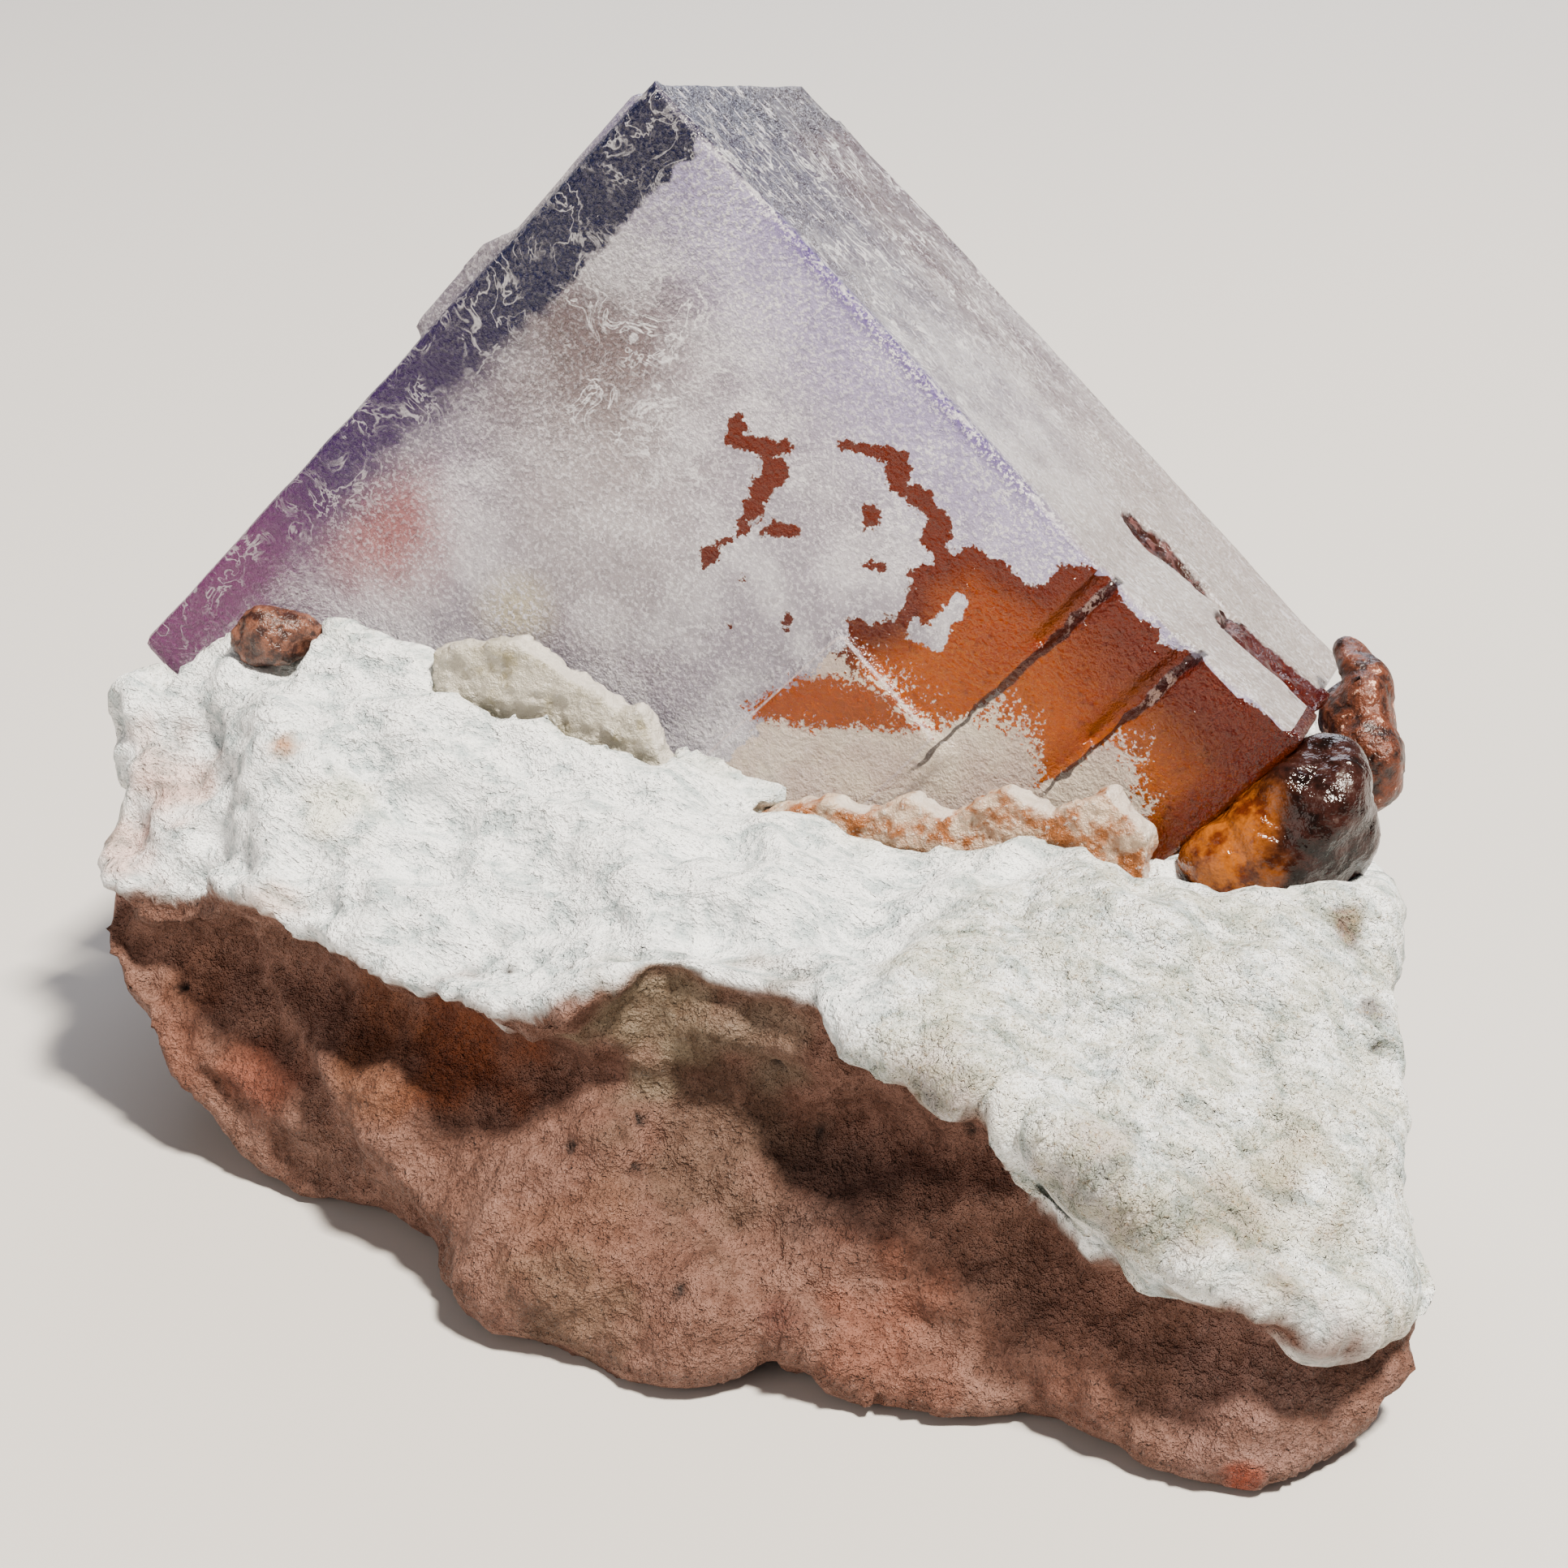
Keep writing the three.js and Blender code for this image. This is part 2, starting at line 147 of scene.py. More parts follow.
# The ledge's fibres: their direction, how long they are drawn and how far they wander
FIBRE_WAY = np.array([0.86, -0.15, -0.48])
FIBRE_STRETCH = 2.4
FIBRE_WANDER = 0.25
# How much painted shade darkens the whole underside's colour
UNDERSIDE_PAINTED_SHADE = 0.32
# The lip that overhangs along the ledge's edge, and the hollow under it: height and reach
LIP_HEIGHT = 0.4
LIP_REACH = 0.6
HOLLOW_DEPTH = 0.75
HOLLOW_REACH = 2.2
# Noise on the rock: rows of height, size in millimetres and seed
EDGE_WAVER = [(0.35, 1.6, 1), (0.2, 0.6, 2)]
LUMPS = [(0.2, 2.2, 3), (0.16, 0.9, 4)]
CHIPS = [(0.45, 1.5, 5), (0.22, 0.6, 6)]
FLUTES = [(0.8, 1.5, 7), (0.45, 0.7, 8)]
GRIT = [(0.06, 0.32, 9)]
LUMP_CRUMBS = [(0.3, 0.75, 10)]
# How much of the chips the whole ledge has, how much of the flutes broken rock loses, and how far
# the skin is lifted to make up for both
CHIPS_EVERYWHERE = 0.35
FLUTES_LOST = 0.75
SKIN_LIFT = 0.3


def linear(hex_colour):
    """An sRGB hex colour as linear red, green, blue and alpha."""
    channels = [int(hex_colour[i:i + 2], 16) / 255 for i in (1, 3, 5)]
    return tuple(c / 12.92 if c <= 0.04045 else ((c + 0.055) / 1.055) ** 2.4
                 for c in channels) + (1.0,)


def smooth(low, high, values):
    """0 below low, 1 above high, and a smooth rise between."""
    t = np.clip((values - low) / (high - low), 0, 1)
    return t * t * (3 - 2 * t)


def field(at, size, seed=0):
    """Seeded noise from -1 to 1 at each point, with bumps of that size in millimetres."""
    shift = Vector((seed * 7.3, seed * 3.1, seed * 5.7))
    return np.array([noise.noise(Vector(p) / size + shift) for p in at])


def bumps(at, rows):
    """Noise summed over rows of height, size and seed."""
    return sum(height * field(at, size, seed) for height, size, seed in rows)


def creases(at, rows):
    """The same with its hollows turned up, so that sharp creases part round bumps."""
    return sum(height * np.abs(field(at, size, seed)) for height, size, seed in rows)


def refined_copy(node, name, voxel, axes=Matrix.Identity(4)):
    """A welded, voxel-remeshed copy of a CAD node, in millimetres in the given axes."""
    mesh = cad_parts[node].data.copy()
    mesh.materials.clear()
    mesh.transform(axes.inverted() @ Matrix.Translation(-ORIGIN) @ Matrix.Scale(1 / MM, 4))
    weld = bmesh.new()
    weld.from_mesh(mesh)
    bmesh.ops.remove_doubles(weld, verts=weld.verts, dist=0.002)
    bmesh.ops.recalc_face_normals(weld, faces=weld.faces)
    weld.to_mesh(mesh)
    weld.free()
    piece = bpy.data.objects.new(name, mesh)
    bpy.context.scene.collection.objects.link(piece)
    remesh = piece.modifiers.new("fine skin", "REMESH")
    remesh.mode = "VOXEL"
    remesh.voxel_size = voxel
    evaluated = piece.evaluated_get(bpy.context.evaluated_depsgraph_get())
    fine = bpy.data.meshes.new_from_object(evaluated)
    piece.modifiers.clear()
    piece.data = fine
    return piece


def read(piece):
    """The piece's points and unit normals as arrays."""
    points = np.empty(len(piece.data.vertices) * 3)
    piece.data.vertices.foreach_get("co", points)
    normals = np.empty(len(piece.data.vertices) * 3)
    piece.data.vertex_normals.foreach_get("vector", normals)
    return points.reshape(-1, 3), normals.reshape(-1, 3)


def write(piece, points):
    piece.data.vertices.foreach_set("co", points.ravel())
    piece.data.update()


def soften(piece, values, times):
    """The values at the piece's points, averaged with their neighbours' that many times."""
    ends = np.empty(len(piece.data.edges) * 2, int)
    piece.data.edges.foreach_get("vertices", ends)
    first, second = ends.reshape(-1, 2).T
    count = np.bincount(ends, minlength=len(values)) + 1.0
    columns = values.reshape(len(values), -1).astype(float)
    for _ in range(times):
        for i in range(columns.shape[1]):
            old = columns[:, i].copy()
            total = old + np.bincount(first, old[second], len(old))
            total = total + np.bincount(second, old[first], len(old))
            columns[:, i] = total / count
    return columns.reshape(values.shape)


def keep_attribute(piece, name, values):
    """Stores a number, a place or a colour at each point, for the material to read."""
    if values.ndim == 1:
        kind, field_name = "FLOAT", "value"
    elif values.shape[1] == 3:
        kind, field_name = "FLOAT_VECTOR", "vector"
    else:
        kind, field_name = "FLOAT_COLOR", "color"
    stored = piece.data.attributes.new(name, kind, "POINT")
    stored.data.foreach_set(field_name, values.astype(float).ravel())


def paint(tint, weight, colour):
    """The colours at the points, moved towards one colour by each point's weight."""
    return tint + weight[:, None] * (np.array(linear(colour)) - tint)


def to_path(at, path):
    """Distance in a plane from each point to a bent line."""
    best = np.full(len(at), 1e3)
    for a, b in zip(path, path[1:] if len(path) > 1 else path):
        a, b = np.array(a), np.array(b)
        along = np.clip((at - a) @ (b - a) / max((b - a) @ (b - a), 1e-9), 0, 1)
        best = np.minimum(best, np.linalg.norm(at - a - along[:, None] * (b - a), axis=1))
    return best


def to_outline(at, outline):
    """Signed distance in a plane to a closed outline, negative inside."""
    edge = to_path(at, outline + outline[:1])
    crossings = np.zeros(len(at), int)
    for (ax, ay), (bx, by) in zip(outline, outline[1:] + outline[:1]):
        spans = (ay > at[:, 1]) != (by > at[:, 1])
        reach = ax + (at[:, 1] - ay) * (bx - ax) / (by - ay if by != ay else 1e-9)
        crossings += spans & (at[:, 0] < reach)
    return np.where(crossings % 2 == 1, -edge, edge)


def pixels(at):
    """Where the picture shows each point, in pixels."""
    offset = at - np.array(EYE)
    distance = -(offset @ np.array(VIEW_BACK))
    right = offset[:, 0] / distance * FOCAL_PIXELS
    up = offset @ np.array(VIEW_UP) / distance * FOCAL_PIXELS
    return np.column_stack([PICTURE_PIXELS / 2 + right, PICTURE_PIXELS / 2 - up])


def on_rock(pixel):
    """The point of the rock that the picture shows at a pixel, or the nearest to it."""
    right = (pixel[0] - PICTURE_PIXELS / 2) / FOCAL_PIXELS
    up = (PICTURE_PIXELS / 2 - pixel[1]) / FOCAL_PIXELS
    ray = (Vector((right, 0, 0)) + VIEW_UP * up - VIEW_BACK).normalized()
    return np.array(skin.ray_cast(EYE, ray)[0] or skin.find_nearest(EYE + ray * VIEW_DISTANCE)[0])


def new_material(name):
    material = bpy.data.materials.new(name)
    material.use_nodes = True
    return material, material.node_tree, material.node_tree.nodes["Principled BSDF"]


def add(tree, kind, *values, out=None, **settings):
    """Adds a shader node and gives its first output in use, or the one that out names. Values go
    to its sockets in use, in order; a setting is a property or a socket's name. A value is a
    number, a hex colour or another node's output."""
    node = tree.nodes.new("ShaderNode" + kind)
    for name in settings.keys() - set(node.inputs.keys()):
        setattr(node, name, settings[name])
    in_use = [socket for socket in node.inputs if socket.enabled]
    named = [(node.inputs[name], settings[name]) for name in settings if name in node.inputs]
    for socket, value in [*zip(in_use, values), *named]:
        if isinstance(value, bpy.types.NodeSocket):
            tree.links.new(value, socket)
        else:
            socket.default_value = linear(value) if isinstance(value, str) else value
    return node.outputs[out] if out else next(socket for socket in node.outputs if socket.enabled)


def finish_piece(piece, material, node, axes=Matrix.Identity(4)):
    """Puts the piece back in metres in the frame, in place of the CAD node that it refines."""
    piece.data.transform(Matrix.Scale(MM, 4) @ Matrix.Translation(ORIGIN) @ axes)
    piece.data.materials.clear()
    piece.data.materials.append(material)
    piece.data.polygons.foreach_set("use_smooth", [True] * len(piece.data.polygons))
    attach(piece, "root")
    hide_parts(node)


rock = refined_copy("matrix", "rock_matrix", ROCK_VOXEL)
points, normals = read(rock)
at_pixel = pixels(points)
seen = soften(rock, smooth(-0.1, 0.3, soften(rock, normals, 8) @ np.array(VIEW_BACK)), 12)

# The skin is drawn onto the crystal where the solid keeps a gap to it
in_crystal = points @ np.array(TO_CRYSTAL)[:3, :3].T + np.array(TO_CRYSTAL)[:3, 3]
low_corner = np.array([0.0, -CRYSTAL_LEFT, -CRYSTAL_DEPTH])
high_corner = np.array([CRYSTAL_RIGHT, LAYER_MARGIN, FRONT_MARGIN])
outside = np.maximum(np.maximum(low_corner - in_crystal, in_crystal - high_corner), 0)
touching = 1 - smooth(TOUCH_NEAR, TOUCH_FAR, np.linalg.norm(outside, axis=1))

# How far each point is below the ledge's edge, in millimetres
below_front = (at_pixel[:, 1] - np.interp(at_pixel[:, 0], *zip(*LEDGE_EDGE))) / PIXELS_PER_MM
below_back = np.interp(points[:, 0], *zip(*BACK_EDGE)) - points[:, 2]
below = seen * below_front + (1 - seen) * below_back + bumps(points, EDGE_WAVER)
under = smooth(-0.12, 0.12, below)
to_lump = to_outline(at_pixel, RIGHT_LUMP) + LUMP_EDGE * field(points, 1.5, 18)
right_lump = 1 - smooth(-LUMP_EDGE, LUMP_EDGE, to_lump)
right_lump = np.maximum(right_lump * seen, 0.6 * (1 - seen)) * (1 - under)

# Broken rock: a sharp lip round the ledge, soft lumps, chips, and flutes that run along the ledge
lip = LIP_HEIGHT * np.exp(-(np.minimum(below + 0.25, 0) / LIP_REACH) ** 2)
lip = lip - HOLLOW_DEPTH * smooth(-0.1, 0.35, below) * np.exp(-(below / HOLLOW_REACH) ** 2)
forms = np.zeros(len(points))
for outline, height, width in ROCK_FORMS:
    forms += height * smooth(-width, width, -to_outline(at_pixel, outline)) * seen
stretched = points - (1 - 1 / FIBRE_STRETCH) * (points @ FIBRE_WAY)[:, None] * FIBRE_WAY
wander = np.column_stack([field(points, 1.5, seed) for seed in (15, 16, 17)])
stretched = stretched + FIBRE_WANDER * wander
broken = np.maximum(under, right_lump)
chips = creases(points, CHIPS) * (CHIPS_EVERYWHERE + (1 - CHIPS_EVERYWHERE) * broken)
flutes = creases(stretched, FLUTES) * (1 - FLUTES_LOST * broken)
crumbs = creases(points, LUMP_CRUMBS) * right_lump
raised = forms + bumps(points, LUMPS) + bumps(points, GRIT) + SKIN_LIFT
relief = lip + raised - chips - flutes - crumbs
on_floor = smooth(0.05, 0.6, points[:, 2])
relief = soften(rock, relief * on_floor * (1 - touching), 1)
points = points + soften(rock, normals, 2) * relief[:, None]
points = points + normals * (touching * SOCKET_GAP)[:, None]
points[:, 2] = np.maximum(points[:, 2], 0)
write(rock, points)
points, normals = read(rock)
skin = BVHTree.FromPolygons([Vector(p) for p in points],
                            [tuple(face.vertices) for face in rock.data.polygons])

tint = np.tile(np.array(linear("#f5fafb")), (len(points), 1))
tint = paint(tint, 0.5 * smooth(0.0, 0.6, field(points, 2.2, 11)) * (1 - seen), "#dcd8c8")
tint = paint(tint, 0.45 * right_lump * smooth(-0.3, 0.25, field(points, 1.4, 19)), "#c9c8b2")
# The underside's pink-beige: partly the rock's own colour and partly painted shade
tint = paint(tint, under, "#90695a")
tint = paint(tint, under * 0.6 * smooth(-0.1, 0.6, field(points, 1.6, 12)), "#744d3d")
tint = paint(tint, under * 0.6 * smooth(0.1, 0.6, field(points, 2.8, 13)), "#9e7666")
for pixel, radius, colour, strength in ROCK_PATCHES:
    away = np.linalg.norm(points - on_rock(pixel), axis=1)
    away = away + PATCH_RAGGED * radius * field(points, 0.9, 14)
    inside = 1 - smooth(PATCH_FULL * radius, PATCH_END * radius, away)
    tint = paint(tint, strength * inside, colour)
# Painted shade: each pinhole is sunk and painted near black as the shade in its pit
for pixel in PINHOLES:
    away = np.linalg.norm(points - on_rock(pixel), axis=1)
    tint = paint(tint, 1 - smooth(0.1, 0.2, away), "#2b201c")
    points = points - normals * (PINHOLE_DEPTH * (1 - smooth(0.05, 0.22, away)))[:, None]
# Painted shade: the underside's colour darkened all over
tint[:, :3] *= 1 - UNDERSIDE_PAINTED_SHADE * under[:, None]
write(rock, points)
keep_attribute(rock, "stone_tint", tint)
keep_attribute(rock, "under", under)
keep_attribute(rock, "lump", right_lump)
keep_attribute(rock, "broken", broken)
keep_attribute(rock, "fibre_mm", stretched)

# Chalky stone, a soft broken rock: dry and matt, finely fibrous on top with painted shade in the
# fibres' folds, and underneath with a sugary grain of about 0.15 mm that glints
FIBRE_SIZE = 0.55
MOTTLE_SIZE = 0.55
SPECK_SIZE = 0.14
SUGAR_SIZE = 0.2
FIBRE_RELIEF = 0.45
SUGAR_RELIEF = 0.14
stone, tree, shader = new_material("chalky_stone")
here = add(tree, "TexCoord", out="Object")
along_fibres = add(tree, "Attribute", out="Vector", attribute_name="fibre_mm")
beneath = add(tree, "Attribute", out="Fac", attribute_name="under")
lump = add(tree, "Attribute", out="Fac", attribute_name="lump")
any_broken = add(tree, "Attribute", out="Fac", attribute_name="broken")
tinted = add(tree, "Attribute", out="Color", attribute_name="stone_tint")
fibres = add(tree, "TexNoise", along_fibres, 1 / FIBRE_SIZE, 4, 0.74)
mottle = add(tree, "TexNoise", here, 1 / (MOTTLE_SIZE * MM), 4, 0.74)
speck = add(tree, "TexNoise", here, 1 / (SPECK_SIZE * MM), 2, 0.7)
mossy = add(tree, "MapRange", mottle, 0.46, 0.56, 0.0, lump, interpolation_type="SMOOTHSTEP")
greener = add(tree, "Mix", 0.45, tinted, "#9b9c80", data_type="RGBA")
tinted = add(tree, "Mix", mossy, tinted, greener, data_type="RGBA")
ochre = add(tree, "MapRange", speck, 0.58, 0.66, 0.0, lump, interpolation_type="SMOOTHSTEP")
yellower = add(tree, "Mix", 0.4, tinted, "#a8895a", data_type="RGBA")
tinted = add(tree, "Mix", ochre, tinted, yellower, data_type="RGBA")
# Painted shade: where the fibre bump sinks into folds, the colour is darkened to a cool grey
fold = add(tree, "MapRange", fibres, 0.34, 0.58, interpolation_type="SMOOTHSTEP")
painted_fold_shade = add(tree, "Mix", fold, "#a4b2b4", "#ffffff", data_type="RGBA")
cloudy = add(tree, "MapRange", mottle, 0.34, 0.64, interpolation_type="SMOOTHSTEP")
stains = add(tree, "Mix", cloudy, "#b4a498", "#ffffff", data_type="RGBA")
fold_shade_and_stains = add(tree, "Mix", beneath, painted_fold_shade, stains, data_type="RGBA")
shaded_and_stained = add(tree, "Mix", 0.85, tinted, fold_shade_and_stains, data_type="RGBA", blend_type="MULTIPLY")
dark_specks = add(tree, "MapRange", speck, 0.66, 0.72, 0.0, 0.4, interpolation_type="SMOOTHSTEP")
dark_specks = add(tree, "Math", dark_specks, any_broken, operation="MULTIPLY")
stone_colour = add(tree, "Mix", dark_specks, shaded_and_stained, "#4f3428", data_type="RGBA")
glint = add(tree, "MapRange", speck, 0.45, 0.65, 0.9, 0.5)
sugar = add(tree, "TexNoise", here, 1 / (SUGAR_SIZE * MM), 3, 0.75)
coarse = add(tree, "Mix", any_broken, fibres, mottle, data_type="FLOAT")
coarse = add(tree, "Bump", Height=coarse, Distance=FIBRE_RELIEF * MM, Strength=1.0)
sugary = add(tree, "Bump", Height=sugar, Distance=SUGAR_RELIEF * MM, Strength=1.0, Normal=coarse)
tree.links.new(stone_colour, shader.inputs["Base Color"])
tree.links.new(glint, shader.inputs["Roughness"])
tree.links.new(sugary, shader.inputs["Normal"])
shader.inputs["Specular IOR Level"].default_value = 0.35
finish_piece(rock, stone, "matrix")

# The fluorite crystal
# One cube-shaped crystal, clear inside with a frosted, finely etched skin. A purple growth zone
# lies along its upper left face, and iron stains its lower right. It is grown into the matrix.
CRYSTAL_VOXEL = 0.19
ZONE_WIDTH = 1.95
SKIN_DEPTH = 1.1
# Outlines and paths are in the crystal's axes: along and across the front face, from its top corner
STAIN_FIELD = [(13.1, -5.7), (13.7, -5.4), (13.9, -4.4), (13.3, -3.7), (13.7, -2.9), (13.9, -2.0),
               (14.9, -1.8), (16.0, -1.4), (15.8, -0.8), (16.1, -0.2), (17.0, 0.3), (17.4, -0.1),
               (19.2, -0.1), (20.0, 0.5), (24.6, 0.7), (24.6, -9.0), (13.6, -13.0), (13.5, -6.3)]
STAIN_BARE = [(14.8, -3.3), (14.9, -4.0), (15.0, -4.5), (14.4, -4.6)]
BARE_HALF_WIDTH = 0.25
# Where the main stain fades to beige: across the face for each place along it
FADE_LINE = [(12.0, -7.0), (14.5, -6.3), (15.8, -6.1), (16.9, -5.6), (17.0, -4.4), (18.8, -4.2),
             (19.5, -5.2), (19.8, -3.0), (20.7, -2.6), (21.9, -3.2), (22.4, -5.2), (24.0, -6.0)]
FADE_STARTS = 13.0
# Stain streaks and spots: path, half width
STAIN_MARKS = [
    ([(11.1, -1.9), (11.4, -2.4), (12.4, -2.2), (12.9, -2.2)], 0.26),
    ([(12.9, -2.2), (13.2, -2.7), (13.9, -2.9)], 0.3),
    ([(9.8, -2.7), (10.5, -2.3), (11.1, -1.9)], 0.16),
    ([(7.6, -4.3), (7.8, -4.8), (8.5, -4.4), (8.9, -3.9)], 0.2),
    ([(9.0, -4.3), (9.2, -5.1), (9.4, -5.7)], 0.28),
    ([(9.4, -5.7), (9.5, -6.5), (9.5, -7.6)], 0.16),
    ([(10.0, -5.8), (10.5, -5.3)], 0.15), ([(11.6, -3.4), (11.8, -3.6)], 0.26),
    ([(12.5, -4.3), (12.7, -4.3)], 0.2), ([(12.0, -6.9), (12.2, -7.1)], 0.17),
    ([(10.4, -7.0), (10.5, -7.1)], 0.12), ([(10.8, -8.4), (11.2, -8.3)], 0.12),
]
# A second stain, which ends along a line that slants across the face
SECOND_STAIN = [(12.9, -9.4), (13.2, -8.3), (13.5, -7.5), (14.2, -6.9), (15.0, -6.3), (16.8, -6.2),
                (16.8, -7.4), (14.2, -9.2)]
SLANT = 0.707
SECOND_FADE = 16.1
GROWTH_STEP = [(13.3, -6.15), (13.1, -12.0), (17.0, -12.0), (16.8, -6.2)]
# Healed cracks: place along the face, and where it ends across it
CRACKS = [(17.05, -7.6), (19.75, -5.6)]
CRACK_WAVER = 0.15
CRUMBS_ACROSS = -1.1
# Torn grooves along the right upper face: path of along and depth, half width
GROOVES = [([(16.7, -6.1), (17.4, -6.4), (18.4, -6.2)], 0.95), ([(18.4, -6.1), (20.3, -5.3)], 0.4),
           ([(20.5, -4.6), (24.0, -4.3)], 1.15)]
# Where they may lie: how far down the right upper face, between which depths and how near to it
GROOVED_FROM = 12.0
GROOVED_DEEPEST = -9.0
GROOVED_NEAREST = -1.0
GROOVED_SKIN = 1.0
# The end face is stained to this depth, and is taken to be this thick
END_STAIN_DEPTH = 7.0
END_SKIN = 0.5
# A distance that is outside every pattern's edge
NOT_HERE = 3.0
# Heights of the etched relief: terraces and growth step on the front, torn floors in the grooves
# and streaks on the right upper face
TERRACE_HEIGHT = 0.05
STEP_HEIGHT = 0.14
GROOVE_FLOOR = 0.06
GROOVE_TEARS = 0.3
STREAK_HEIGHT = 0.035
# Noise on the crystal: rows of height, size in millimetres and seed
FACE_WAVES = [(0.035, 2.6, 21), (0.025, 0.9, 22)]
CLOUDS = [(1.0, 1.8, 28), (0.5, 0.8, 29)]
# Cloudy patches of the milky skin: place on the front face, full within, and none past
TAUPE_CLOUD = ((3.9, -6.4), 1.4, 5.0)
GREY_CLOUD = ((7.0, -9.0), 1.5, 5.0)
ROSY_CLOUD = ((2.8, -13.6), 0.8, 3.2)
YELLOW_CLOUD = ((6.8, -12.4), 0.4, 1.6)
LINED_CLOUD = ((4.6, -5.6), 2.6, 6.0)

crystal = refined_copy("fluorite_crystal", "fluorite_cube", CRYSTAL_VOXEL, CRYSTAL_AXES)
points, normals = read(crystal)
along, across, depth = points.T
front = smooth(0.5, 0.9, normals[:, 2]) * smooth(-1.0, -0.4, depth)
grooved = (depth < GROOVED_NEAREST) & (depth > GROOVED_DEEPEST) & (along > GROOVED_FROM)
right = np.maximum(smooth(0.5, 0.9, normals[:, 1]), grooved & (across > -GROOVED_SKIN))
end_face = (along > CRYSTAL_RIGHT - END_SKIN) & (depth > -END_STAIN_DEPTH)
near_front = (depth > -SKIN_DEPTH) & ((normals[:, 1] < 0.6) | (across < -0.3))
plane = points[:, :2]
field_edge = to_outline(plane, STAIN_FIELD)
stain = np.maximum(field_edge, BARE_HALF_WIDTH - to_path(plane, STAIN_BARE))
for path, half_width in STAIN_MARKS:
    stain = np.minimum(stain, to_path(plane, path) - half_width)
second = np.maximum(to_outline(plane, SECOND_STAIN), (along - across) * SLANT - SECOND_FADE)
step = to_outline(plane, GROWTH_STEP)
fade = np.where(along < FADE_STARTS, NOT_HERE, across - np.interp(along, *zip(*FADE_LINE)))
groove = np.full(len(points), NOT_HERE)
for path, half_width in GROOVES:
    groove = np.minimum(groove, to_path(points[:, [0, 2]], path) - half_width)
groove = np.where((normals[:, 1] > 0.2) | (across > -1.2), groove, NOT_HERE)

# Etch relief: broad waves over the faces, terraces toward the stain, and torn groove floors
relief = bumps(points, FACE_WAVES)
terraces = np.floor(2.2 * field(points * np.array([1.0, 0.35, 1.0]), 2.4, 24))
terraces = TERRACE_HEIGHT * terraces * smooth(9, 15, along)
relief = relief + (terraces + STEP_HEIGHT * smooth(0.08, -0.08, step)) * front
in_groove = smooth(0.12, -0.12, groove + 0.12 * field(points, 0.5, 26)) * right
relief = relief - in_groove * (GROOVE_FLOOR + GROOVE_TEARS * np.abs(field(points, 0.45, 25)))
streaked = field(points * np.array([0.22, 1.0, 1.0]), 0.5, 27)
relief = relief + STREAK_HEIGHT * streaked * right
write(crystal, points + normals * relief[:, None])
points = read(crystal)[0]
along, across, depth = points.T
cloud = bumps(points, CLOUDS)


def near_place(place, near, far):
    """1 near a place on the front face, 0 far from it, with a cloudy edge."""
    away = np.linalg.norm(points - np.array(place + (0.0,)), axis=1)
    away = away + near * (0.4 + 0.6 * cloud)
    return 1 - smooth(near, far, away)


# The milky skin: lilac toward the right edge, taupe beside the purple zone, rosy at the left foot
right_top = right * (1 - smooth(2.0, 14.0, along))
taupe = near_place(*TAUPE_CLOUD)
rosy = near_place(*ROSY_CLOUD)
milk = np.tile(np.array(linear("#aaa3ae")), (len(points), 1))
milk = paint(milk, smooth(-0.35, 0.3, cloud), "#dad7dc")
milk = paint(milk, 0.65 * smooth(-4.2, -0.6, across) * (1 - right), "#aca0dc")
milk = paint(milk, 0.9 * taupe, "#66524a")
milk = paint(milk, 0.5 * near_place(*GREY_CLOUD), "#b5ada6")
milk = paint(milk, 0.9 * rosy, "#a85c54")
milk = paint(milk, 0.6 * near_place(*YELLOW_CLOUD), "#d8cc86")
milk = paint(milk, right_top, "#28183c")
milk = paint(milk, 0.6 * right * (1 - smooth(-9.5, -5.0, depth)), "#6e5650")
milk = paint(milk, 0.7 * right * smooth(11.0, 17.0, along), "#bfb2a6")
edge_line = 1 - smooth(0.05, 0.5, np.abs(across + 0.05))
edge_line = edge_line * smooth(3.0, 6.0, along) * (1 - smooth(13.0, 16.5, along))
edge_line = edge_line * smooth(-0.6, -0.3, depth)
milk = paint(milk, 0.9 * edge_line, "#50348c")

# The purple zone: navy near the top corner and magenta toward the left corner
softness = 0.08 + 0.87 * (1 - smooth(-11.0, -5.0, across))
zone_edge = (along + 0.4 * field(points, 0.4, 30) - ZONE_WIDTH) / softness
zone_weight = (1 - 0.6 * (1 - smooth(-0.2, 0.0, along))) * (1 - 0.5 * right)
in_zone = (1 - smooth(-1, 1, zone_edge)) * zone_weight
purple = np.tile(np.array(linear("#0b0f30")), (len(points), 1))
purple = paint(purple, 1 - smooth(-13.0, -6.0, across), "#341c50")
purple = paint(purple, 1 - smooth(-18.5, -13.0, across), "#783a6c")

keep_attribute(crystal, "crystal_mm", points)
keep_attribute(crystal, "milk_tint", milk)
keep_attribute(crystal, "zone_tint", purple)
keep_attribute(crystal, "zone_edge", zone_edge)
keep_attribute(crystal, "zone_weight", zone_weight)
clear = np.maximum(np.maximum(0.7 * taupe, 0.6 * rosy),
                   np.maximum(0.85 * right_top, 0.93 * in_zone))
# How much white frost the skin has; its specks are partly the frosted skin's own white and partly
# painted sparkle
keep_attribute(crystal, "frost_and_sparkle", (0.55 + 0.45 * smooth(-0.4, 0.4, cloud)) * (1 - clear))
etch_lines_and_highlights = np.maximum(near_place(*LINED_CLOUD), right * (1 - smooth(9.0, 14.0, along)))
keep_attribute(crystal, "etch_lines_and_highlights", np.maximum(etch_lines_and_highlights * (1 - in_zone), 0.55 * in_zone))
keep_attribute(crystal, "streaks", 0.9 * right)
keep_attribute(crystal, "stain", np.where(near_front, stain, np.where(end_face, -0.6, NOT_HERE)))
keep_attribute(crystal, "second_stain", np.where(near_front, second, NOT_HERE))
toward_end = smooth(20.8, 23.0, along) * smooth(-7.0, -4.0, across)
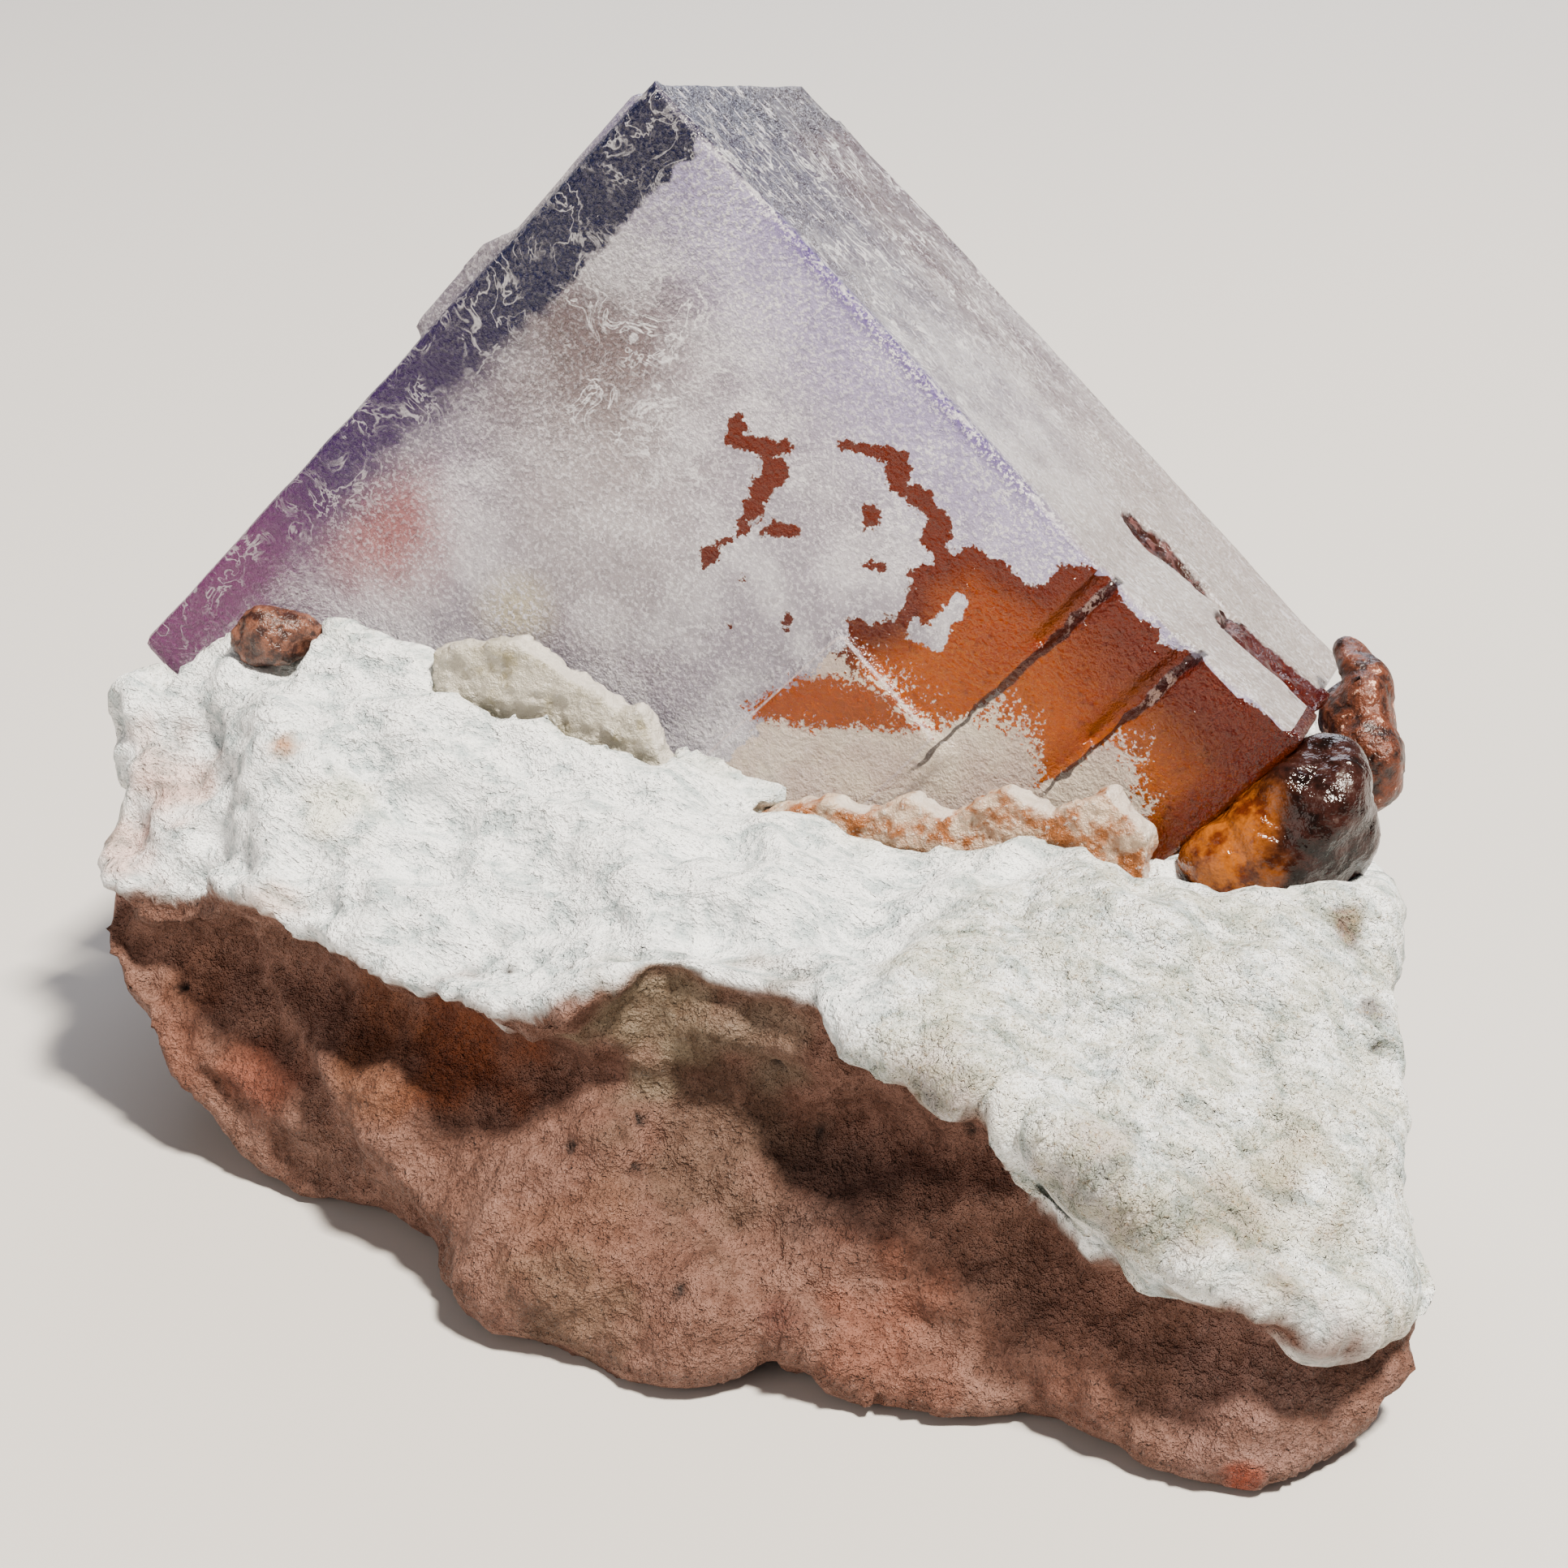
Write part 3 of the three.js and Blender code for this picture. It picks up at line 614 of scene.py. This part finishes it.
toward_rim = np.where(across > -8.5, smooth(-1.3, -0.2, field_edge), 0.0)
toward_edge = np.maximum(smooth(-3.2, -0.6, across), toward_rim)
keep_attribute(crystal, "deep_red", 0.95 * np.maximum(toward_edge, 0.85 * toward_end))
keep_attribute(crystal, "fade", fade)
keep_attribute(crystal, "growth_step", np.where(near_front, step, NOT_HERE))
keep_attribute(crystal, "groove", np.where(right > 0.5, groove, NOT_HERE))
keep_attribute(crystal, "glossy_groove", smooth(19.8, 20.6, along))
for number, (start, end) in enumerate(CRACKS):
    near_top = smooth(end + 2.0, end + 4.5, across)
    half_width = 0.06 + 0.09 * near_top
    crack = (along + CRACK_WAVER * field(points, 0.4, 31) - start) / half_width
    on_crack = smooth(end, end + 0.8, across) * smooth(-0.7, -0.5, depth)
    keep_attribute(crystal, f"crack_{number}", crack)
    keep_attribute(crystal, f"crack_weight_{number}", 0.9 * on_crack)
    crumbly = 1 - smooth(0.3, 0.9, np.abs(across - CRUMBS_ACROSS))
    keep_attribute(crystal, f"crumbs_{number}", 0.8 * on_crack * crumbly)

# Fluorite, a grown crystal with a chemically etched skin: see-through and milky, with a fine
# sparkle of 0.12 mm, painted as white frost specks and drawn that coarse so that it shows
CLOUD_SIZE = 1.8
ETCH_SIZE = 0.35
SPARKLE_SIZE = 0.12
RAGGED_SIZE = 0.8
STREAK_SIZE = 0.3
STREAK_SQUEEZE = 0.42
WINDING_SIZE = 1.0
FLUORITE_IOR = 1.434
FLUORITE_CLEARNESS = 0.6
FLUORITE_ABSORPTION = 25.0
fluorite, tree, shader = new_material("frosted_fluorite")
where = add(tree, "Attribute", out="Vector", attribute_name="crystal_mm")
clouds = add(tree, "TexNoise", where, 1 / CLOUD_SIZE, 3, 0.6)
fine = add(tree, "TexNoise", where, 1 / ETCH_SIZE, 3, 0.7)
tiny = add(tree, "TexNoise", where, 1 / SPARKLE_SIZE, 2, 0.7)
ragged = add(tree, "TexNoise", where, 1 / RAGGED_SIZE, 4, 0.78)
haze = add(tree, "MapRange", fine, 0.36, 0.52, 0.8, 1.0, interpolation_type="SMOOTHSTEP")
milk_tint = add(tree, "Attribute", out="Color", attribute_name="milk_tint")
tinted = add(tree, "Mix", 1.0, milk_tint, haze, data_type="RGBA", blend_type="MULTIPLY")
zone_mm = add(tree, "Attribute", out="Fac", attribute_name="zone_edge")
zone_most = add(tree, "Attribute", out="Fac", attribute_name="zone_weight")
zone = add(tree, "MapRange", zone_mm, -1.0, 1.0, zone_most, 0.0, interpolation_type="SMOOTHSTEP")
zone_tint = add(tree, "Attribute", out="Color", attribute_name="zone_tint")
tinted = add(tree, "Mix", zone, tinted, zone_tint, data_type="RGBA")
# White frost specks: partly the etched skin's own white and partly painted highlight as sparkle
frost_and_sparkle_most = add(tree, "Attribute", out="Fac", attribute_name="frost_and_sparkle")
frost_and_sparkle = add(tree, "MapRange", tiny, 0.5, 0.6, 0.0, frost_and_sparkle_most, interpolation_type="SMOOTHSTEP")
tinted = add(tree, "Mix", frost_and_sparkle, tinted, "#fbfafc", data_type="RGBA")

# Bright streaks on the right upper face, and white winding etch lines there and beside the purple
# zone, partly the etch's own white and partly painted highlight on their ridges
lengthwise = add(tree, "VectorMath", where, (STREAK_SQUEEZE, 1.0, 1.0), operation="MULTIPLY")
streak = add(tree, "TexNoise", lengthwise, 1 / STREAK_SIZE, 3, 0.65)
streak_most = add(tree, "Attribute", out="Fac", attribute_name="streaks")
streak = add(tree, "MapRange", streak, 0.58, 0.62, 0.0, streak_most,
             interpolation_type="SMOOTHSTEP")
tinted = add(tree, "Mix", streak, tinted, "#f4f1f6", data_type="RGBA")
winding = add(tree, "TexNoise", where, 1 / WINDING_SIZE, 3, 0.6, Distortion=1.2)
winding = add(tree, "Math", winding, 0.5, operation="SUBTRACT")
winding = add(tree, "Math", winding, operation="ABSOLUTE")
line_most = add(tree, "Attribute", out="Fac", attribute_name="etch_lines_and_highlights")
line_most = add(tree, "MapRange", clouds, 0.42, 0.56, 0.0, line_most)
# Partly painted highlight: the winding etch lines are painted white
white_lines_and_highlights = add(tree, "MapRange", winding, 0.006, 0.03, line_most, 0.0, interpolation_type="SMOOTHSTEP")
tinted = add(tree, "Mix", white_lines_and_highlights, tinted, "#ffffff", data_type="RGBA")

# Iron stains with a ragged edge: dark red toward the crystal's edges, amber inside, fading to
# speckled beige below
stain_mm = add(tree, "Attribute", out="Fac", attribute_name="stain")
stain_edge = add(tree, "Math", ragged, 1.1, stain_mm, operation="MULTIPLY_ADD")
stained = add(tree, "MapRange", stain_edge, 0.53, 0.57, 1.0, 0.0)
fade_mm = add(tree, "Attribute", out="Fac", attribute_name="fade")
speckled = add(tree, "Math", tiny, 3.4, fade_mm, operation="MULTIPLY_ADD")
speckled = add(tree, "Math", clouds, 3.0, speckled, operation="MULTIPLY_ADD")
present = add(tree, "MapRange", speckled, 3.05, 3.35, 0.0, stained,
              interpolation_type="SMOOTHSTEP")
pale_amber = add(tree, "MapRange", speckled, 3.2, 6.0, 0.85, 0.0,
                 interpolation_type="SMOOTHSTEP")
iron = add(tree, "Mix", pale_amber, "#882600", "#b64c00", data_type="RGBA")
deep_red = add(tree, "Attribute", out="Fac", attribute_name="deep_red")
iron = add(tree, "Mix", deep_red, iron, "#440200", data_type="RGBA")
rusty_dots = add(tree, "MapRange", fine, 0.56, 0.68, 0.0, 0.45, interpolation_type="SMOOTHSTEP")
iron = add(tree, "Mix", rusty_dots, iron, "#300300", data_type="RGBA")
patchy = add(tree, "MapRange", clouds, 0.4, 0.6)
beige = add(tree, "Mix", patchy, "#ecd2b4", "#ffecc4", data_type="RGBA")
faded = add(tree, "Math", stained, 0.7, operation="MULTIPLY")
tinted = add(tree, "Mix", faded, tinted, beige, data_type="RGBA")
tinted = add(tree, "Mix", present, tinted, iron, data_type="RGBA")
second_mm = add(tree, "Attribute", out="Fac", attribute_name="second_stain")
second_edge = add(tree, "Math", tiny, -1.2, second_mm, operation="MULTIPLY_ADD")
second_edge = add(tree, "Math", ragged, 0.9, second_edge, operation="MULTIPLY_ADD")
second_stained = add(tree, "MapRange", second_edge, -0.25, -0.1, 1.0, 0.0)
tinted = add(tree, "Mix", second_stained, tinted, "#983800", data_type="RGBA")

# A painted highlight along the raised growth step's edge, dark healed cracks with glittering
# crumbs, torn grooves
step_mm = add(tree, "Attribute", out="Fac", attribute_name="growth_step")
step_mm = add(tree, "Math", step_mm, operation="ABSOLUTE")
# Painted highlight: a pale line along the step's edge
step_edge_highlight = add(tree, "MapRange", step_mm, 0.01, 0.06, 0.6, 0.0, interpolation_type="SMOOTHSTEP")
tinted = add(tree, "Mix", step_edge_highlight, tinted, "#f2e4e0", data_type="RGBA")
for number in range(len(CRACKS)):
    aside = add(tree, "Attribute", out="Fac", attribute_name=f"crack_{number}")
    aside = add(tree, "Math", aside, operation="ABSOLUTE")
    most = add(tree, "Attribute", out="Fac", attribute_name=f"crack_weight_{number}")
    cracked = add(tree, "MapRange", aside, 0.7, 1.1, most, 0.0, interpolation_type="SMOOTHSTEP")
    tinted = add(tree, "Mix", cracked, tinted, "#140302", data_type="RGBA")
    most = add(tree, "Attribute", out="Fac", attribute_name=f"crumbs_{number}")
    most = add(tree, "MapRange", fine, 0.5, 0.56, 0.0, most)
    crumb = add(tree, "MapRange", aside, 0.7, 1.1, most, 0.0, interpolation_type="SMOOTHSTEP")
    tinted = add(tree, "Mix", crumb, tinted, "#9a7a68", data_type="RGBA")
groove_mm = add(tree, "Attribute", out="Fac", attribute_name="groove")
groove_edge = add(tree, "Math", ragged, 0.45, groove_mm, operation="MULTIPLY_ADD")
torn = add(tree, "MapRange", groove_edge, 0.17, 0.32, 1.0, 0.0, interpolation_type="SMOOTHSTEP")
crumbly = add(tree, "MapRange", fine, 0.48, 0.62, interpolation_type="SMOOTHSTEP")
lacquer = add(tree, "Mix", crumbly, "#2a0400", "#7a4a44", data_type="RGBA")
glossy = add(tree, "Attribute", out="Fac", attribute_name="glossy_groove")
lacquer = add(tree, "Mix", glossy, lacquer, "#460400", data_type="RGBA")
tinted = add(tree, "Mix", torn, tinted, lacquer, data_type="RGBA")
tree.links.new(tinted, shader.inputs["Base Color"])

hazy = add(tree, "MapRange", clouds, 0.35, 0.65, 0.16, 0.42, interpolation_type="SMOOTHSTEP")
skin_roughness = add(tree, "Mix", zone, hazy, 0.14, data_type="FLOAT")
skin_roughness = add(tree, "Mix", present, skin_roughness, 0.12, data_type="FLOAT")
tree.links.new(skin_roughness, shader.inputs["Roughness"])
etched = add(tree, "Math", tiny, 0.07, operation="MULTIPLY")
etched = add(tree, "Math", fine, 0.12, etched, operation="MULTIPLY_ADD")
tree.links.new(add(tree, "Bump", Height=etched, Distance=MM, Strength=0.85),
               shader.inputs["Normal"])
shader.inputs["Transmission Weight"].default_value = FLUORITE_CLEARNESS
shader.inputs["IOR"].default_value = FLUORITE_IOR
absorb = add(tree, "VolumeAbsorption", "#cbbfe0", FLUORITE_ABSORPTION)
tree.links.new(absorb, tree.nodes["Material Output"].inputs["Volume"])
finish_piece(crystal, fluorite, "fluorite_crystal", CRYSTAL_AXES)

# The crust at the crystal's foot
# Two strips of translucent crust where rock and crystal meet, pale on the left and stained
# orange on the right, with a thin bright rim that is a painted highlight on the faces that turn
# up. They grew there and hold to both.
CRUST_VOXEL = 0.1
# Noise on the crust: rows of height, size in millimetres and seed
CRUST_BUMPS = [(0.16, 0.8, 31), (0.05, 0.2, 33)]
CRUST_KNOBS = [(0.16, 0.4, 32)]
CRUST_PATCH_SIZE = 0.9
CRUST_DUST_SIZE = 0.18
CRUST_DUST_RELIEF = 0.14
# CAD node, name, slot, body colour, stain colour and the noise value from which the stain shows
CRUSTS = [
    ("left_rind", "pale_crust", "pale_rind", "#cfc9b8", "#a39a78", 0.5),
    ("right_rind", "stained_crust", "stained_rind", "#e2c9ae", "#a4602a", 0.42),
]

for node, name, slot, body_colour, stain_colour, stained_from in CRUSTS:
    crust = refined_copy(node, name, CRUST_VOXEL)
    points, normals = read(crust)
    rough = bumps(points, CRUST_BUMPS) + creases(points, CRUST_KNOBS)
    write(crust, points + normals * rough[:, None])
    upward = normals @ np.array(CRYSTAL_AXES)[:3, 1]
    # Painted highlight: a pale rim on the faces that turn up
    keep_attribute(crust, "painted_rim_highlight", smooth(0.45, 0.9, upward + 0.25 * field(points, 0.5, 34)))

    # A mineral crust of fine crystals, like milky quartz: cloudy and slightly glossy, with a
    # dusting of bright grains of 0.18 mm
    milky, tree, shader = new_material(name + "_mineral")
    here = add(tree, "TexCoord", out="Object")
    cloudy = add(tree, "TexNoise", here, 1 / (CRUST_PATCH_SIZE * MM), 4, 0.65)
    stained = add(tree, "MapRange", cloudy, stained_from, stained_from + 0.2,
                  interpolation_type="SMOOTHSTEP")
    body = add(tree, "Mix", stained, body_colour, stain_colour, data_type="RGBA")
    painted_rim_highlight = add(tree, "Attribute", out="Fac", attribute_name="painted_rim_highlight")
    painted_rim_highlight = add(tree, "Math", painted_rim_highlight, 0.75, operation="MULTIPLY")
    # The pale rim is a painted highlight
    body = add(tree, "Mix", painted_rim_highlight, body, "#fbf5ea", data_type="RGBA")
    dust = add(tree, "TexNoise", here, 1 / (CRUST_DUST_SIZE * MM), 3, 0.7)
    dusted = add(tree, "MapRange", dust, 0.58, 0.7, 0.0, 0.6, interpolation_type="SMOOTHSTEP")
    body = add(tree, "Mix", dusted, body, "#fffdf8", data_type="RGBA")
    dusty = add(tree, "Bump", Height=dust, Distance=CRUST_DUST_RELIEF * MM, Strength=1.0)
    tree.links.new(body, shader.inputs["Base Color"])
    tree.links.new(dusty, shader.inputs["Normal"])
    shader.inputs["Roughness"].default_value = 0.28
    shader.inputs["Transmission Weight"].default_value = 0.4
    finish_piece(crust, milky, node)

# The small grains
# A glassy brown-black grain and a rusty, coppery one at the crystal's right corner, and a small
# brown one at its left foot, all grown fast to rock and crystal.
GRAIN_VOXEL = 0.1
# The dark grain is thin and amber on its left, partly its own colour and partly a painted glow of
# light through it: full up to the first distance, none past the second
GLOW_FROM = 1.2
GLOW_TO = 2.8
grains = {}
# Node, name, lumpiness, chipping, growth and how often its corners are rubbed down
for node, name, lumpy, chipping, growth, rubbed in [
    ("dark_grain", "dark_glassy_grain", 0.1, 0.1, 0.34, 12),
    ("rusty_grain", "rusty_coppery_grain", 0.1, 0.14, 0.3, 40),
    ("brown_grain", "small_brown_grain", 0.14, 0.14, 0.1, 4),
]:
    piece = grains[node] = refined_copy(node, name, GRAIN_VOXEL)
    write(piece, soften(piece, read(piece)[0], rubbed))
    points, normals = read(piece)
    rough = lumpy * field(points, 0.8, 41) + 0.5 * lumpy * np.abs(field(points, 0.35, 42))
    chipped = chipping * np.floor(3 * field(points, 1.1, 43)) / 3
    write(piece, points + normals * (rough + chipped + growth)[:, None])

dark = grains["dark_grain"]
points = read(dark)[0]
from_left = points[:, 0] - points[:, 0].min() + 0.6 * field(points, 0.8, 44)
keep_attribute(dark, "glow", 1 - smooth(GLOW_FROM, GLOW_TO, from_left))

# Sphalerite-like mineral, a natural broken surface: glassy, brown-black, amber where thin, partly
# as a painted glow
SMOKE_SIZE = 0.6
KNOB_SIZE = 0.35
KNOB_RELIEF = 0.1
DARK_GRAIN_IOR = 1.55
glassy, tree, shader = new_material("dark_glassy_mineral")
here = add(tree, "TexCoord", out="Object")
smoke = add(tree, "TexNoise", here, 1 / (SMOKE_SIZE * MM), 4, 0.65)
smoky = add(tree, "MapRange", smoke, 0.35, 0.6, interpolation_type="SMOOTHSTEP")
body = add(tree, "Mix", smoky, "#0d0503", "#29120d", data_type="RGBA")
ashen = add(tree, "MapRange", smoke, 0.58, 0.7, interpolation_type="SMOOTHSTEP")
body = add(tree, "Mix", ashen, body, "#40322e", data_type="RGBA")
# Partly painted glow: the amber of the thin left part
amber = add(tree, "Mix", smoky, "#4a1c06", "#8c4c10", data_type="RGBA")
glow = add(tree, "Attribute", out="Fac", attribute_name="glow")
body = add(tree, "Mix", glow, body, amber, data_type="RGBA")
tree.links.new(body, shader.inputs["Base Color"])
tree.links.new(add(tree, "MapRange", smoke, 0.4, 0.7, 0.1, 0.35), shader.inputs["Roughness"])
knobs = add(tree, "TexNoise", here, 1 / (KNOB_SIZE * MM), 3, 0.6)
knobby = add(tree, "Bump", Height=knobs, Distance=KNOB_RELIEF * MM, Strength=1.0)
tree.links.new(knobby, shader.inputs["Normal"])
shader.inputs["IOR"].default_value = DARK_GRAIN_IOR
shader.inputs["Specular IOR Level"].default_value = 0.25
finish_piece(dark, glassy, "dark_grain")

# Iron oxide coating over a chip of fluorite: coppery and a little metallic, with pale cream patches
# painted as highlights
FLAKE_SIZE = 0.5
CHIP_SIZE = 0.25
COATING_RELIEF = 0.12
coppery, tree, shader = new_material("iron_oxide_coating")
here = add(tree, "TexCoord", out="Object")
flakes = add(tree, "TexNoise", here, 1 / (FLAKE_SIZE * MM), 4, 0.7)
flaky = add(tree, "MapRange", flakes, 0.35, 0.6, interpolation_type="SMOOTHSTEP")
body = add(tree, "Mix", flaky, "#1e0a05", "#5c2c16", data_type="RGBA")
# Painted highlight: pale cream patches on the coating
cream_highlight = add(tree, "MapRange", flakes, 0.62, 0.67, interpolation_type="SMOOTHSTEP")
body = add(tree, "Mix", cream_highlight, body, "#d8a890", data_type="RGBA")
tree.links.new(body, shader.inputs["Base Color"])
tree.links.new(add(tree, "MapRange", flakes, 0.4, 0.7, 0.35, 0.6), shader.inputs["Roughness"])
chipped = add(tree, "TexNoise", here, 1 / (CHIP_SIZE * MM), 3, 0.6)
chipped = add(tree, "Bump", Height=chipped, Distance=COATING_RELIEF * MM, Strength=1.0)
tree.links.new(chipped, shader.inputs["Normal"])
shader.inputs["Metallic"].default_value = 0.2
finish_piece(grains["rusty_grain"], coppery, "rusty_grain")

# Brown iron mineral, limonite-like: dull, dark and earthy with small glints
EARTH_SIZE = 0.35
EARTH_RELIEF = 0.12
earthy, tree, shader = new_material("brown_earthy_mineral")
here = add(tree, "TexCoord", out="Object")
earth = add(tree, "TexNoise", here, 1 / (EARTH_SIZE * MM), 4, 0.7)
mixed = add(tree, "MapRange", earth, 0.38, 0.66, interpolation_type="SMOOTHSTEP")
body = add(tree, "Mix", mixed, "#2a120c", "#754a38", data_type="RGBA")
rough_earth = add(tree, "Bump", Height=earth, Distance=EARTH_RELIEF * MM, Strength=1.0)
tree.links.new(body, shader.inputs["Base Color"])
tree.links.new(rough_earth, shader.inputs["Normal"])
shader.inputs["Roughness"].default_value = 0.32
finish_piece(grains["brown_grain"], earthy, "brown_grain")

# The floor, the light and the camera
# A plain pale floor and soft studio light from above right. The camera looks down at 25 degrees.
FLOOR_SIZE = 1.2
WORLD_STRENGTH = 0.25
CLIP_START = 0.001
bpy.ops.mesh.primitive_plane_add(size=FLOOR_SIZE, location=(0, 0, 0))
floor = bpy.context.object
floor.name = "floor"
pale, tree, shader = new_material("pale_floor")
shader.inputs["Base Color"].default_value = linear("#c0beba")
shader.inputs["Roughness"].default_value = 0.85
floor.data.materials.append(pale)

target = (VIEW_TARGET + ORIGIN) * MM
# Area lights: name, place and size in metres, watts, colour
for name, place, size, watts, colour in [
    ("key", (0.12, -0.09, 0.35), 0.05, 5.4, "#fff4e6"),
    ("fill", (-0.30, -0.25, 0.12), 0.30, 0.8, "#ffe9dd"),
    ("back", (0.05, 0.35, 0.20), 0.25, 1.2, "#eef2ff"),
]:
    light = bpy.data.lights.new(name, "AREA")
    light.size = size
    light.energy = watts
    light.color = linear(colour)[:3]
    lamp = bpy.data.objects.new(name, light)
    bpy.context.scene.collection.objects.link(lamp)
    lamp.location = place
    lamp.rotation_euler = (target - lamp.location).to_track_quat("-Z", "Y").to_euler()

world = bpy.data.worlds.new("studio")
world.use_nodes = True
world.node_tree.nodes["Background"].inputs["Color"].default_value = linear("#e9e9ec")
world.node_tree.nodes["Background"].inputs["Strength"].default_value = WORLD_STRENGTH
bpy.context.scene.world = world

camera = bpy.data.cameras.new("camera")
camera.lens = camera.sensor_width * FOCAL_PIXELS / PICTURE_PIXELS
camera.clip_start = CLIP_START
viewer = bpy.data.objects.new("camera", camera)
bpy.context.scene.collection.objects.link(viewer)
viewer.location = (EYE + ORIGIN) * MM
viewer.rotation_euler = (target - viewer.location).to_track_quat("-Z", "Y").to_euler()
bpy.context.scene.camera = viewer
